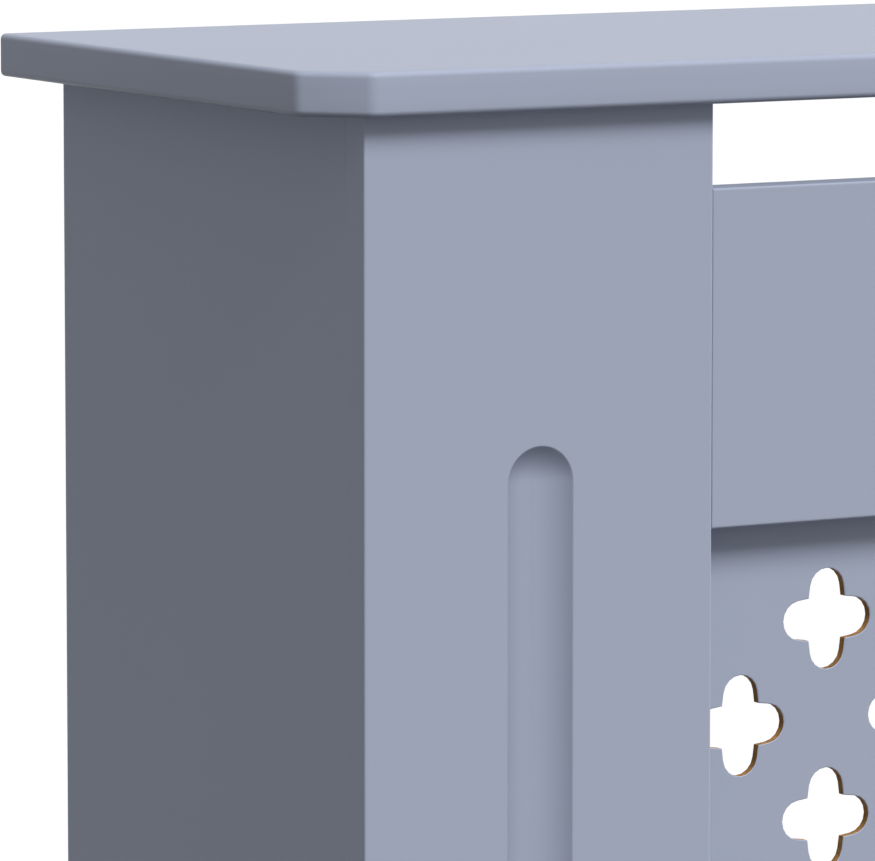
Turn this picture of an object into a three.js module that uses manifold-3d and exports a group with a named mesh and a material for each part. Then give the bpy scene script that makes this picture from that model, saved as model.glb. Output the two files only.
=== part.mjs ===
// Radiator cover cabinet: painted MDF boards that stand over a radiator, with a pierced grille in front.
// Millimetres, +Z up, front towards -Y. The origin is on the floor under the middle of the top board.

import * as THREE from "three";
import { mergeVertices } from "three/addons/utils/BufferGeometryUtils.js";
import Module from "manifold-3d";

const wasm = await Module();
wasm.setup();

// Overall size, measured over the top board.
const coverWidth = 770;
const coverDepth = 190;
const coverHeight = 815;

// Top board: its front corners are cut off, and all its edges but the one at the wall are rounded.
const topThickness = 12;
const topOverhangSide = 16;
const topOverhangFront = 7;
const topOverhangBack = 7;
const topCornerCut = 15;
const topCornerRadius = 5;
const topEdgeRadius = 2;

// Front frame: two fluted stiles that stand on the floor, and two rails between them.
const frameThickness = 10;
const frameEasedEdge = 0.6;
const stileWidth = 106;
const upperRailHeight = 91.5;
const lowerRailHeight = 91.5;
const warmAirSlot = 23;
const coolAirGap = 100;

// Flute: a cove, an arc of a circle in section, with round ends along the middle of each stile.
const fluteWidth = 20;
const fluteDepth = 5;
const fluteEndMargin = 89;

// Grille: a thin sheet behind the frame, pierced with crosses in a diagonal lattice.
const grilleThickness = 2.5;
const grilleLap = 20;
const crossLength = 27.8;
const crossRootWidth = 11.6;
const crossEndRadius = 5.4;
const crossSpacing = 27.5;
const landBesideFrame = 1.5;

// Side panels, notched at the back so that the cover stands against a wall with a skirting board.
const sideThickness = 10;
const skirtingHeight = 120;
const skirtingDepth = 25;

// Dowels between the rails and the stiles.
const dowelDiameter = 5;
const dowelLength = 30;
const dowelChamfer = 1;
const dowelSpacing = 50;

// Joint blocks in the inner corners, each with one screw into each of its two boards.
const blockSize = 13;
const blockLength = 40;
const blockCornerCut = 2.5;
const blockScrewSpacing = 20;
const cornerBlockEndDistance = 60;
const topBlockEndDistance = 45;

// Wall brackets: steel angles on the side panels, which reach back to the wall.
const bracketLeg = 30;
const bracketHeight = 16;
const bracketThickness = 2;
const bracketBendRadius = 3;
const bracketBelowTop = 60;
const bracketWallHoleDiameter = 5;

// Pan-head screws, and the room round each screw and dowel.
const screwDiameter = 3.2;
const screwHeadDiameter = 7;
const screwHeadHeight = 2;
const screwBite = 7;
const fitClearance = 0.3;

// Facets.
const lobeSegments = 2;
const edgeSegments = 2;
const fluteEndSegments = 5;
const fluteRings = 3;
const screwSides = 6;
const dowelSides = 8;

// Places worked out from the sizes above.
const frontY = -coverDepth / 2 + topOverhangFront;
const frameBackY = frontY + frameThickness;
const wallY = coverDepth / 2;
const sideBackY = wallY - topOverhangBack;
const undersideZ = coverHeight - topThickness;
const bodyHalfWidth = coverWidth / 2 - topOverhangSide;
const sideInnerX = bodyHalfWidth - sideThickness;
const stileMiddleX = bodyHalfWidth - stileWidth / 2;
const openingHalfWidth = bodyHalfWidth - stileWidth;
const upperRailBottomZ = undersideZ - warmAirSlot - upperRailHeight;
const lowerRailTopZ = coolAirGap + lowerRailHeight;
const openingHeight = upperRailBottomZ - lowerRailTopZ;
const openingMiddleZ = (upperRailBottomZ + lowerRailTopZ) / 2;

const alongX = new THREE.Vector3(1, 0, 0);
const alongY = new THREE.Vector3(0, 1, 0);
const alongZ = new THREE.Vector3(0, 0, 1);

const paint = new THREE.MeshStandardMaterial({ color: 0xa8afc1, roughness: 0.5, metalness: 0 });
const beech = new THREE.MeshStandardMaterial({ color: 0xc9a676, roughness: 0.8, metalness: 0 });
const whitePlastic = new THREE.MeshStandardMaterial({ color: 0xe4e3de, roughness: 0.45, metalness: 0 });
const zincSteel = new THREE.MeshStandardMaterial({ color: 0xb4b7ba, roughness: 0.35, metalness: 1 });

const cover = new THREE.Group();
const frontFrame = new THREE.Group();
frontFrame.position.set(0, frontY, 0);
cover.add(frontFrame);

function addPiece(name, geometry, material, position, parent = cover) {
  const piece = new THREE.Mesh(geometry, material);
  piece.name = name;
  piece.position.copy(position);
  parent.add(piece);
  return piece;
}

function toSolid(geometry) {
  const bare = geometry.clone();
  bare.deleteAttribute("normal");
  bare.deleteAttribute("uv");
  const merged = mergeVertices(bare, 1e-4);
  const vertProperties = new Float32Array(merged.attributes.position.array);
  const triVerts = new Uint32Array(merged.index.array);
  return new wasm.Manifold(new wasm.Mesh({ numProp: 3, vertProperties, triVerts }));
}

function cutAway(geometry, cutters) {
  let solid = toSolid(geometry);
  for (const cutter of cutters) solid = solid.subtract(toSolid(cutter));
  const mesh = solid.getMesh();
  const cut = new THREE.BufferGeometry();
  cut.setAttribute("position", new THREE.BufferAttribute(mesh.vertProperties, 3));
  cut.setIndex(new THREE.BufferAttribute(mesh.triVerts, 1));
  const faceted = cut.toNonIndexed();
  faceted.computeVertexNormals();
  return faceted;
}

function extruded(points, length) {
  return new THREE.ExtrudeGeometry(new THREE.Shape(points), { depth: length, bevelEnabled: false });
}

// Turns a geometry so that its own X, Y and Z lie along the three given directions.
function laidAlong(geometry, first, second, third) {
  return geometry.applyMatrix4(new THREE.Matrix4().makeBasis(first, second, third));
}

// A closed shell through rings of equal counts, each running anticlockwise seen from the last one's side.
function shellThroughRings(rings) {
  const count = rings[0].length;
  const last = (rings.length - 1) * count;
  const triangles = [];
  for (let ring = 0; ring < last; ring += count) {
    for (let i = 0; i < count; i++) {
      const next = (i + 1) % count;
      triangles.push(ring + i, ring + next, ring + count + next);
      triangles.push(ring + i, ring + count + next, ring + count + i);
    }
  }
  for (let i = 1; i < count - 1; i++) {
    triangles.push(0, i + 1, i);
    triangles.push(last, last + i, last + i + 1);
  }
  const shell = new THREE.BufferGeometry();
  shell.setAttribute("position", new THREE.Float32BufferAttribute(rings.flat(2), 3));
  shell.setIndex(triangles);
  return shell;
}

// A round hole's cutter: it enters at the point, runs the depth, and starts 1 mm outside the board.
function holeCutter(point, direction, diameter, depth, sides = screwSides) {
  const outside = 1;
  const cutter = new THREE.CylinderGeometry(diameter / 2, diameter / 2, depth + outside, sides);
  cutter.translate(0, (depth - outside) / 2, 0);
  cutter.applyQuaternion(new THREE.Quaternion().setFromUnitVectors(alongY, direction));
  return cutter.translate(point.x, point.y, point.z);
}

// Holes that the fittings need in each board, in the cover's frame, filled by the fittings' own loops.
const boardHoles = {};

function drill(board, point, direction, diameter, depth, sides) {
  boardHoles[board] ??= [];
  boardHoles[board].push({ point, direction, diameter, depth, sides });
}

function drilled(name, geometry, origin) {
  const cutters = (boardHoles[name] ?? []).map(({ point, direction, diameter, depth, sides }) =>
    holeCutter(point.clone().sub(origin), direction, diameter, depth, sides),
  );
  return cutAway(geometry, cutters);
}

// Rounds each corner of a polygon whose radius is more than 0, with the same number of chords.
function withRoundedCorners(corners, radii) {
  return corners.flatMap((corner, index) => {
    if (radii[index] === 0) return [corner];
    const before = corners.at(index - 1).clone().sub(corner);
    const after = corners[(index + 1) % corners.length].clone().sub(corner);
    const half = Math.abs(before.angleTo(after)) / 2;
    const setBack = radii[index] / Math.tan(half);
    const start = corner.clone().addScaledVector(before.normalize(), setBack);
    const end = corner.clone().addScaledVector(after.normalize(), setBack);
    const middle = before.add(after).normalize();
    const centre = corner.clone().addScaledVector(middle, radii[index] / Math.sin(half));
    const startAngle = start.clone().sub(centre).angle();
    let sweep = end.clone().sub(centre).angle() - startAngle;
    if (sweep < -Math.PI) sweep += 2 * Math.PI;
    if (sweep > Math.PI) sweep -= 2 * Math.PI;
    return Array.from({ length: edgeSegments + 1 }, (_, step) => {
      const angle = startAngle + (sweep * step) / edgeSegments;
      return new THREE.Vector2(Math.cos(angle), Math.sin(angle)).multiplyScalar(radii[index]).add(centre);
    });
  });
}

// The top board's outline from above, drawn in by the inset on every side but the one at the wall.
function topOutline(inset) {
  const side = coverWidth / 2 - inset;
  const front = -coverDepth / 2 + inset;
  const cut = topCornerCut - inset * (2 - Math.SQRT2);
  const corners = [
    new THREE.Vector2(-side, front + cut),
    new THREE.Vector2(-side + cut, front),
    new THREE.Vector2(side - cut, front),
    new THREE.Vector2(side, front + cut),
    new THREE.Vector2(side, wallY),
    new THREE.Vector2(-side, wallY),
  ];
  const radius = topCornerRadius;
  return withRoundedCorners(corners, [radius, radius, radius, radius, 0, 0]);
}

function topBoard() {
  const radius = Math.min(topEdgeRadius, topThickness / 2.1);
  const levels = [];
  for (let step = 0; step <= edgeSegments; step++) {
    const angle = ((Math.PI / 2) * step) / edgeSegments;
    levels.push({ inset: radius * (1 - Math.sin(angle)), z: radius * (1 - Math.cos(angle)) });
  }
  const upperLevels = levels.map(({ inset, z }) => ({ inset, z: topThickness - z })).reverse();
  const ringAt = ({ inset, z }) => topOutline(inset).map(({ x, y }) => [x, y, z]);
  return shellThroughRings([...levels, ...upperLevels].map(ringAt));
}

// The flute's cutter: rings of its round-ended outline shrink along an arc of a circle.
// It is drawn with X across the stile, Y into it from the front face, and Z up.
function fluteCutter() {
  const halfWidth = fluteWidth / 2;
  const lowerCentre = fluteEndMargin + halfWidth;
  const upperCentre = undersideZ - fluteEndMargin - halfWidth;
  const ringAt = (radius, y) => {
    const ring = [];
    for (const [centre, startAngle] of [[upperCentre, 0], [lowerCentre, Math.PI]]) {
      for (let step = 0; step <= fluteEndSegments; step++) {
        const angle = startAngle + (Math.PI * step) / fluteEndSegments;
        ring.push([radius * Math.cos(angle), y, centre + radius * Math.sin(angle)]);
      }
    }
    return ring;
  };
  const depth = Math.min(fluteDepth, halfWidth);
  const arcRadius = (halfWidth ** 2 + depth ** 2) / (2 * depth);
  const rimAngle = Math.asin(halfWidth / arcRadius);
  const rings = [ringAt(halfWidth, -1)];
  for (let ring = 0; ring <= fluteRings; ring++) {
    const angle = rimAngle * (1 - ring / (fluteRings + 0.5));
    rings.push(ringAt(arcRadius * Math.sin(angle), arcRadius * Math.cos(angle) - arcRadius + depth));
  }
  return shellThroughRings(rings.reverse());
}

// A stile stands on its end: its section is drawn from above, with both front edges eased.
function stile() {
  const half = stileWidth / 2;
  const section = [
    new THREE.Vector2(-half + frameEasedEdge, 0),
    new THREE.Vector2(half - frameEasedEdge, 0),
    new THREE.Vector2(half, frameEasedEdge),
    new THREE.Vector2(half, frameThickness),
    new THREE.Vector2(-half, frameThickness),
    new THREE.Vector2(-half, frameEasedEdge),
  ];
  return cutAway(extruded(section, undersideZ), [fluteCutter()]);
}

// A rail's section is drawn from its end, with Y to the back and Z up, and runs along X.
function rail(height) {
  const section = [
    new THREE.Vector2(frameEasedEdge, 0),
    new THREE.Vector2(frameThickness, 0),
    new THREE.Vector2(frameThickness, height),
    new THREE.Vector2(frameEasedEdge, height),
    new THREE.Vector2(0, height - frameEasedEdge),
    new THREE.Vector2(0, frameEasedEdge),
  ];
  const board = laidAlong(extruded(section, 2 * openingHalfWidth), alongY, alongZ, alongX);
  return board.translate(-openingHalfWidth, 0, 0);
}

// A side panel's outline is drawn from its edge side, with Y to the back and Z up.
function sidePanel() {
  const depth = sideBackY - frameBackY;
  const notch = skirtingDepth - topOverhangBack;
  const outline = [
    new THREE.Vector2(0, 0),
    new THREE.Vector2(depth - notch, 0),
    new THREE.Vector2(depth - notch, skirtingHeight),
    new THREE.Vector2(depth, skirtingHeight),
    new THREE.Vector2(depth, undersideZ),
    new THREE.Vector2(0, undersideZ),
  ];
  return laidAlong(extruded(outline, sideThickness), alongY, alongZ, alongX);
}

// One cross: four lobes that taper a little from the inner corners to their round ends. The end of a
// lobe's flank and its round end are one fan of chords.
function crossOutline(centreX, centreZ) {
  const root = crossRootWidth / 2;
  const radius = crossEndRadius;
  const endCentre = crossLength / 2 - radius;
  const halfSweep = THREE.MathUtils.degToRad(63);
  const centre = new THREE.Vector2(centreX, centreZ);
  const points = [];
  for (let lobe = 0; lobe < 4; lobe++) {
    const lobePoints = [new THREE.Vector2(root, -root)];
    for (let step = 0; step <= lobeSegments; step++) {
      const angle = halfSweep * ((2 * step) / lobeSegments - 1);
      lobePoints.push(new THREE.Vector2(endCentre + radius * Math.cos(angle), radius * Math.sin(angle)));
    }
    const origin = new THREE.Vector2();
    for (const point of lobePoints) points.push(point.rotateAround(origin, (lobe * Math.PI) / 2).add(centre));
  }
  return new THREE.Path(points);
}

// The grille's outline is drawn from the front about the middle of the opening. Crosses stand on every
// second place of a square grid, and the grid's edge places clear the frame by the least land.
function grille() {
  const halfWidth = openingHalfWidth + grilleLap;
  const halfHeight = openingHeight / 2 + grilleLap;
  const sheet = new THREE.Shape([
    new THREE.Vector2(-halfWidth, -halfHeight),
    new THREE.Vector2(halfWidth, -halfHeight),
    new THREE.Vector2(halfWidth, halfHeight),
    new THREE.Vector2(-halfWidth, halfHeight),
  ]);
  const placesWithin = (half) => Math.floor((half - landBesideFrame - crossLength / 2) / crossSpacing);
  const columns = placesWithin(openingHalfWidth);
  const rows = placesWithin(openingHeight / 2);
  for (let column = -columns; column <= columns; column++) {
    for (let row = -rows; row <= rows; row++) {
      const isPierced = (column + columns + row + rows) % 2 === 1;
      if (isPierced) sheet.holes.push(crossOutline(column * crossSpacing, row * crossSpacing));
    }
  }
  return new THREE.ExtrudeGeometry(sheet, { depth: grilleThickness, bevelEnabled: false });
}

// A pan-head screw points along its own Y, and the underside of its head is at 0.
function screw(grip) {
  const head = screwHeadDiameter / 2;
  const shank = screwDiameter / 2;
  const profile = [
    new THREE.Vector2(0, -screwHeadHeight),
    new THREE.Vector2(head * 0.7, -screwHeadHeight),
    new THREE.Vector2(head, 0),
    new THREE.Vector2(shank, 0),
    new THREE.Vector2(shank, grip + screwBite),
    new THREE.Vector2(0, grip + screwBite),
  ];
  return new THREE.LatheGeometry(profile, screwSides);
}

function addScrew(name, headSeat, direction, grip, parent) {
  const piece = addPiece(name, screw(grip), zincSteel, headSeat, parent);
  piece.quaternion.setFromUnitVectors(alongY, direction);
}

const screwHole = screwDiameter + 2 * fitClearance;
const pilotDepth = screwBite + fitClearance;

// A joint block's own X and Y point away from its two boards, and Z runs along the corner between them.
// Its edge that stands out into the room is cut off.
function jointBlock() {
  const section = [
    new THREE.Vector2(0, 0),
    new THREE.Vector2(blockSize, 0),
    new THREE.Vector2(blockSize, blockSize - blockCornerCut),
    new THREE.Vector2(blockSize - blockCornerCut, blockSize),
    new THREE.Vector2(0, blockSize),
  ];
  const body = extruded(section, blockLength).translate(0, 0, -blockLength / 2);
  const half = blockSize / 2;
  const through = blockSize + 1;
  return cutAway(body, [
    holeCutter(new THREE.Vector3(0, half, blockScrewSpacing / 2), alongX, screwHole, through),
    holeCutter(new THREE.Vector3(half, 0, -blockScrewSpacing / 2), alongY, screwHole, through),
  ]);
}

function addJointBlock(name, corner, firstBoard, awayFromFirst, secondBoard, awayFromSecond) {
  const along = awayFromFirst.clone().cross(awayFromSecond);
  const half = blockSize / 2;
  const joint = new THREE.Group();
  joint.quaternion.setFromRotationMatrix(new THREE.Matrix4().makeBasis(awayFromFirst, awayFromSecond, along));
  joint.position.copy(corner);
  cover.add(joint);
  addPiece(name, jointBlock(), whitePlastic, new THREE.Vector3(), joint);

  const firstSeat = new THREE.Vector3(blockSize, half, blockScrewSpacing / 2);
  addScrew(`${name}_screw_1`, firstSeat, alongX.clone().negate(), blockSize, joint);
  const firstEntry = corner.clone().addScaledVector(awayFromSecond, half);
  firstEntry.addScaledVector(along, blockScrewSpacing / 2);
  drill(firstBoard, firstEntry, awayFromFirst.clone().negate(), screwHole, pilotDepth);

  const secondSeat = new THREE.Vector3(half, blockSize, -blockScrewSpacing / 2);
  addScrew(`${name}_screw_2`, secondSeat, alongY.clone().negate(), blockSize, joint);
  const secondEntry = corner.clone().addScaledVector(awayFromFirst, half);
  secondEntry.addScaledVector(along, -blockScrewSpacing / 2);
  drill(secondBoard, secondEntry, awayFromSecond.clone().negate(), screwHole, pilotDepth);
}

// A wall bracket is a bent strip seen from above: one leg on the side panel, the other along the wall.
function addWallBracket(hand, side) {
  const inward = new THREE.Vector3(-side, 0, 0);
  const legEnd = -side * bracketLeg;
  const face = -side * bracketThickness;
  const outline = [
    new THREE.Vector2(0, 0),
    new THREE.Vector2(0, -bracketLeg),
    new THREE.Vector2(face, -bracketLeg),
    new THREE.Vector2(face, -bracketThickness),
    new THREE.Vector2(legEnd, -bracketThickness),
    new THREE.Vector2(legEnd, 0),
  ];
  const bendInside = Math.max(bracketBendRadius - bracketThickness, 0);
  const strip = withRoundedCorners(outline, [bracketBendRadius, 0, 0, bendInside, 0, 0]);
  const origin = new THREE.Vector3(side * sideInnerX, wallY, undersideZ - bracketBelowTop - bracketHeight);
  const middle = bracketHeight / 2;
  const through = bracketThickness + 1;
  const wallHole = new THREE.Vector3(legEnd * 0.6, 0, middle);
  const cutters = [holeCutter(wallHole, alongY.clone().negate(), bracketWallHoleDiameter, through)];
  const onPanel = sideBackY - wallY + bracketLeg;
  const screwPlaces = [-bracketLeg + onPanel * 0.25, -bracketLeg + onPanel * 0.75];
  screwPlaces.forEach((y, index) => {
    const onSeat = new THREE.Vector3(0, y, middle);
    cutters.push(holeCutter(onSeat, inward, screwHole, through));
    const headSeat = origin.clone().add(onSeat).addScaledVector(inward, bracketThickness);
    const outward = inward.clone().negate();
    addScrew(`wall_bracket_${hand}_screw_${index + 1}`, headSeat, outward, bracketThickness);
    drill(`side_panel_${hand}`, origin.clone().add(onSeat), outward, screwHole, pilotDepth);
  });
  const bracket = cutAway(extruded(strip, bracketHeight), cutters);
  addPiece(`wall_bracket_${hand}`, bracket, zincSteel, origin);
}

// A dowel lies along its own Y, with both ends chamfered.
function dowel() {
  const radius = dowelDiameter / 2;
  const half = dowelLength / 2;
  const profile = [
    new THREE.Vector2(0, -half),
    new THREE.Vector2(radius - dowelChamfer, -half),
    new THREE.Vector2(radius, dowelChamfer - half),
    new THREE.Vector2(radius, half - dowelChamfer),
    new THREE.Vector2(radius - dowelChamfer, half),
    new THREE.Vector2(0, half),
  ];
  return new THREE.LatheGeometry(profile, dowelSides);
}

const hands = [
  { hand: "left", side: -1 },
  { hand: "right", side: 1 },
];
const rails = [
  { rail: "upper", bottomZ: upperRailBottomZ, height: upperRailHeight },
  { rail: "lower", bottomZ: coolAirGap, height: lowerRailHeight },
];

// The fittings come first, because they say where the boards are drilled.
for (const { hand, side } of hands) {
  const inward = new THREE.Vector3(-side, 0, 0);
  const down = alongZ.clone().negate();
  const sideName = `side_panel_${hand}`;
  const stileName = `stile_${hand}`;

  const cornerHeights = {
    low: cornerBlockEndDistance,
    middle: undersideZ / 2,
    high: undersideZ - cornerBlockEndDistance,
  };
  for (const [level, z] of Object.entries(cornerHeights)) {
    const corner = new THREE.Vector3(side * sideInnerX, frameBackY, z);
    addJointBlock(`corner_block_${hand}_${level}`, corner, sideName, inward, stileName, alongY);
  }

  const topPlaces = { front: frameBackY + topBlockEndDistance, back: sideBackY - topBlockEndDistance };
  for (const [place, y] of Object.entries(topPlaces)) {
    const corner = new THREE.Vector3(side * sideInnerX, y, undersideZ);
    addJointBlock(`top_block_${hand}_${place}`, corner, sideName, inward, "top_board", down);
  }

  const stileCorner = new THREE.Vector3(side * stileMiddleX, frameBackY, undersideZ);
  addJointBlock(`top_block_${hand}_stile`, stileCorner, stileName, alongY, "top_board", down);

  addWallBracket(hand, side);

  for (const { rail: railName, bottomZ, height } of rails) {
    const boreDiameter = dowelDiameter + 2 * fitClearance;
    const boreDepth = dowelLength / 2 + fitClearance;
    [-0.5, 0.5].forEach((place, index) => {
      const z = bottomZ + height / 2 + place * dowelSpacing;
      const joint = new THREE.Vector3(side * openingHalfWidth, frontY + frameThickness / 2, z);
      drill(stileName, joint, inward.clone().negate(), boreDiameter, boreDepth, dowelSides);
      drill(`rail_${railName}`, joint, inward, boreDiameter, boreDepth, dowelSides);
      const piece = addPiece(`dowel_${railName}_${hand}_${index + 1}`, dowel(), beech, joint);
      piece.quaternion.setFromUnitVectors(alongY, inward);
    });
  }
}

// The boards.
const topOrigin = new THREE.Vector3(0, 0, undersideZ);
addPiece("top_board", drilled("top_board", topBoard(), topOrigin), paint, topOrigin);

function addFrameBoard(name, geometry, origin) {
  const inFrame = origin.clone().sub(frontFrame.position);
  addPiece(name, drilled(name, geometry, origin), paint, inFrame, frontFrame);
}

for (const { hand, side } of hands) {
  addFrameBoard(`stile_${hand}`, stile(), new THREE.Vector3(side * stileMiddleX, frontY, 0));
  const panelX = side > 0 ? sideInnerX : -bodyHalfWidth;
  const panelOrigin = new THREE.Vector3(panelX, frameBackY, 0);
  const panelName = `side_panel_${hand}`;
  addPiece(panelName, drilled(panelName, sidePanel(), panelOrigin), paint, panelOrigin);
}
for (const { rail: railName, bottomZ, height } of rails) {
  addFrameBoard(`rail_${railName}`, rail(height), new THREE.Vector3(0, frontY, bottomZ));
}

const grilleSheet = laidAlong(grille(), alongX, alongZ, alongY.clone().negate());
grilleSheet.translate(0, grilleThickness, 0);
const grilleSeat = new THREE.Vector3(0, frameThickness, openingMiddleZ);
addPiece("grille_panel", grilleSheet, paint, grilleSeat, frontFrame);

export default cover;
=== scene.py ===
# Radiator cover cabinet in grey-blue sprayed MDF: every board, the pierced grille and the fittings,
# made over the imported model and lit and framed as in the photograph. Metres, +Z up, front towards -Y.

import math

import bpy
import numpy as np
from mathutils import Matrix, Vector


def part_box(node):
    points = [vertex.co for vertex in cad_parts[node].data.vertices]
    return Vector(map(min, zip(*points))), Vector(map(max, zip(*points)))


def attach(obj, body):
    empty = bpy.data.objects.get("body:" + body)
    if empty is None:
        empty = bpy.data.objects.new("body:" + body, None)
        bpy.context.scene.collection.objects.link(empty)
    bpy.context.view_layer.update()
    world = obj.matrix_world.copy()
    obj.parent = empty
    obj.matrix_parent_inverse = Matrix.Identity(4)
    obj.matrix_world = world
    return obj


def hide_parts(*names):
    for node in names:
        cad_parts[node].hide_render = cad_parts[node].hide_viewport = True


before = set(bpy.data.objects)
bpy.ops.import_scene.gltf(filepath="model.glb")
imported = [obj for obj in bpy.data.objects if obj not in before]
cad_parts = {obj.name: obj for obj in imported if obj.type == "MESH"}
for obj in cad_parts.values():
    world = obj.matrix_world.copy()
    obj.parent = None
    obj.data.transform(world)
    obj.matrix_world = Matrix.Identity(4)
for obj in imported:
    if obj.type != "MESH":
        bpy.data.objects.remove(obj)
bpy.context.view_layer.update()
scene = bpy.context.scene
scene.view_settings.view_transform = "Standard"
mm = 0.001


def boxOf(node):
    # A node's lowest and highest corners.
    low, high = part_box(node)
    return np.array(low), np.array(high)


cameraSet = {
    "place": (-1.2578, -1.7150, 0.9418),
    "azimuth": -29.234,  # degrees from +Y, anticlockwise seen from above
    "pitch": -6.785,
    "focalPixels": 7176,  # the photograph is 875 pixels wide
    "imageWidth": 875,
    "sensor": 36,  # millimetres
    "clipStart": 0.05,
    "clipEnd": 100,
}


def makeCamera(s):
    data = bpy.data.cameras.new("photoCamera")
    data.sensor_fit = "HORIZONTAL"
    data.sensor_width = s["sensor"]
    data.lens = s["sensor"] * s["focalPixels"] / s["imageWidth"]
    data.clip_start = s["clipStart"]
    data.clip_end = s["clipEnd"]
    camera = bpy.data.objects.new("photoCamera", data)
    camera.location = s["place"]
    camera.rotation_euler = (math.radians(90 + s["pitch"]), 0, math.radians(s["azimuth"]))
    scene.collection.objects.link(camera)
    scene.camera = camera


def addNode(tree, kind, values, output=0, **settings):
    # A node with its own settings, and with plain values or other nodes' sockets in its sockets.
    node = tree.nodes.new("ShaderNode" + kind)
    for label, value in settings.items():
        setattr(node, label, value)
    for label, value in values.items():
        if isinstance(value, bpy.types.NodeSocket):
            tree.links.new(value, node.inputs[label])
        else:
            node.inputs[label].default_value = value
    return node.outputs[output]


def maths(tree, operation, *terms):
    return addNode(tree, "Math", dict(enumerate(terms)), operation=operation)


def spread(tree, value, low, high, fromLow=0.3, fromHigh=0.7):
    # Spreads a value from its own range over another.
    values = {"Value": value, "From Min": fromLow, "From Max": fromHigh, "To Min": low, "To Max": high}
    return addNode(tree, "MapRange", values, "Result")


def twoTones(tree, factor, first, second):
    return addNode(tree, "Mix", {"Factor": factor, "A": first, "B": second}, "Result", data_type="RGBA")


def scaledColour(tree, colour, factor):
    return addNode(tree, "VectorMath", {0: colour, "Scale": factor}, operation="SCALE")


def noise(tree, place, scale, detail, roughness=0.5):
    values = {"Vector": place, "Scale": scale, "Detail": detail, "Roughness": roughness}
    return addNode(tree, "TexNoise", values, "Fac")


def stretched(tree, place, scales):
    # The place with each axis scaled, so that a noise on it runs long where the scale is small.
    return addNode(tree, "Mapping", {"Vector": place, "Scale": scales}, "Vector")


def seenDirectly(tree):
    # One for what the camera sees, also in reflections and through glass, and nought for other light.
    path = tree.nodes.new("ShaderNodeLightPath").outputs
    glossy = maths(tree, "MAXIMUM", path["Is Camera Ray"], path["Is Glossy Ray"])
    return maths(tree, "MAXIMUM", glossy, path["Is Transmission Ray"])


def startMaterial(name, finish):
    # A material, its shader's sockets with the finish's plain values in them, and the place on the piece.
    material = bpy.data.materials.new(name)
    material.use_nodes = True
    tree = material.node_tree
    shader = tree.nodes["Principled BSDF"].inputs
    for label, value in finish.items():
        shader[label].default_value = value
    return material, tree, shader, addNode(tree, "TexCoord", {}, "Object")


lightSet = {
    "key": {"toLight": (0.14, -1.0, 1.11), "softness": 25, "strength": 2.55, "inGloss": True},
    "fill": {"toLight": (0.3, -1.0, 0.05), "softness": 90, "strength": 0.35, "inGloss": True},
    # Nearly level and without gloss, so that it lights the back and nothing else.
    "back": {"toLight": (0.16, 1.0, 0.01), "softness": 12, "strength": 1.3, "inGloss": False},
    "surround": 0.3,  # what the surroundings give from every side
    "backdrop": 1,  # what the camera and reflections see of them: white
}


def makeLamp(name, s):
    data = bpy.data.lights.new(name, "SUN")
    data.energy = s["strength"]
    data.angle = math.radians(s["softness"])
    lamp = bpy.data.objects.new(name, data)
    lamp.visible_glossy = s["inGloss"]
    x, y, z = s["toLight"]
    lamp.rotation_euler = (math.atan2(math.hypot(x, y), z), 0, math.atan2(x, -y))
    scene.collection.objects.link(lamp)


def makeLight(s):
    for name in ("key", "fill", "back"):
        makeLamp(name, s[name])
    world = bpy.data.worlds.new("whiteRoom")
    world.use_nodes = True
    scene.world = world
    tree = world.node_tree
    tree.nodes.clear()
    strength = spread(tree, seenDirectly(tree), s["surround"], s["backdrop"], 0, 1)
    background = addNode(tree, "Background", {"Color": (1, 1, 1, 1), "Strength": strength})
    output = tree.nodes.new("ShaderNodeOutputWorld")
    tree.links.new(background, output.inputs["Surface"])


floorSet = {
    "halfSize": 40,
    "colour": (0.96, 0.96, 0.96, 1),
    "bounceColour": (0.18, 0.18, 0.18, 1),  # what it gives back to the object
    "glow": 0.12,  # lifts the pale floor to white, where it is seen directly
    "finish": {"Roughness": 0.9, "Specular IOR Level": 0.1, "Emission Color": (1, 1, 1, 1)},
}


def makeFloor(s):
    size = s["halfSize"]
    mesh = bpy.data.meshes.new("floor")
    corners = [(-size, -size, 0), (size, -size, 0), (size, size, 0), (-size, size, 0)]
    mesh.from_pydata(corners, [], [(0, 1, 2, 3)])
    floor = bpy.data.objects.new("floor", mesh)
    scene.collection.objects.link(floor)
    material, tree, shader, _ = startMaterial("paleFloor", s["finish"])
    direct = seenDirectly(tree)
    tree.links.new(twoTones(tree, direct, s["bounceColour"], s["colour"]), shader["Base Color"])
    tree.links.new(maths(tree, "MULTIPLY", direct, s["glow"]), shader["Emission Strength"])
    mesh.materials.append(material)


makeCamera(cameraSet)
makeLight(lightSet)
makeFloor(floorSet)
print("camera, light and floor made")


def linear(red, green, blue):
    # Display values from 0 to 255 as linear colour.
    value = np.array([red, green, blue]) / 255
    return (*np.where(value <= 0.04045, value / 12.92, ((value + 0.055) / 1.055) ** 2.4), 1)


def newGroup(name, inputs, outputs):
    # A shader group with its named sockets, as (name, kind, value) and (name, kind).
    group = bpy.data.node_groups.new(name, "ShaderNodeTree")
    for label, kind, value in inputs:
        socket = group.interface.new_socket(label, in_out="INPUT", socket_type=kind)
        if value is not None:
            socket.default_value = value
    for label, kind in outputs:
        group.interface.new_socket(label, in_out="OUTPUT", socket_type=kind)
    return group, group.nodes.new("NodeGroupInput").outputs, group.nodes.new("NodeGroupOutput").inputs


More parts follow.
